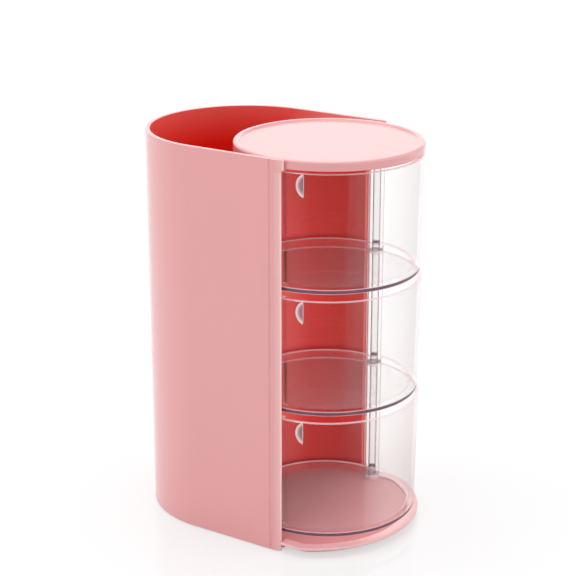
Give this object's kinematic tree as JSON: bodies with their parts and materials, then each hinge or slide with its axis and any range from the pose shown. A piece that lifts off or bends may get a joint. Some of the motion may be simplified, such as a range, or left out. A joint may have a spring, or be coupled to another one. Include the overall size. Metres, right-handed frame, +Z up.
{
  "type": "rotating accessory organizer",
  "caption": "Upright vanity organizer with an open brush cup at the back and a round stack of clear drawers that swing out on one side rod",
  "frame": {"origin": "on the standing surface, under the middle of the footprint", "axes": "+Z up, -Y towards the front of the drawers, +X towards the side that carries the swing rod"},
  "size_m": [0.102, 0.149, 0.2055],
  "materials": {
    "shell_pink": "satin moulded",
    "drawer_clear": "clear polished",
    "rod_white": "smooth",
    "screw_steel": "plain",
    "washer_nylon": "plain",
    "foot_rubber": "matte"
  },
  "bodies": {
    "housing": {"outer_shell": "shell_pink", "drum_hood": "shell_pink", "base_plate": "shell_pink", "pivot_rod": "rod_white", "pivot_washers": "washer_nylon", "base_screws": "screw_steel", "foot_front_left": "foot_rubber", "foot_front_right": "foot_rubber", "foot_back_left": "foot_rubber", "foot_back_right": "foot_rubber"},
    "drawer_lower": {"drawer_lower": "drawer_clear"},
    "drawer_middle": {"drawer_middle": "drawer_clear"},
    "drawer_upper": {"drawer_upper": "drawer_clear"}
  },
  "joints": [
    {"name": "drawer_lower_swing", "type": "hinge", "parent": "housing", "child": "drawer_lower", "pos_m": [0.04327, -0.03, 0.04105], "axis": [0, 0, 1], "range_deg": [0, 120]},
    {"name": "drawer_middle_swing", "type": "hinge", "parent": "housing", "child": "drawer_middle", "pos_m": [0.04327, -0.03, 0.10588], "axis": [0, 0, 1], "range_deg": [0, 120]},
    {"name": "drawer_upper_swing", "type": "hinge", "parent": "housing", "child": "drawer_upper", "pos_m": [0.04327, -0.03, 0.16933], "axis": [0, 0, 1], "range_deg": [0, 120]}
  ]
}
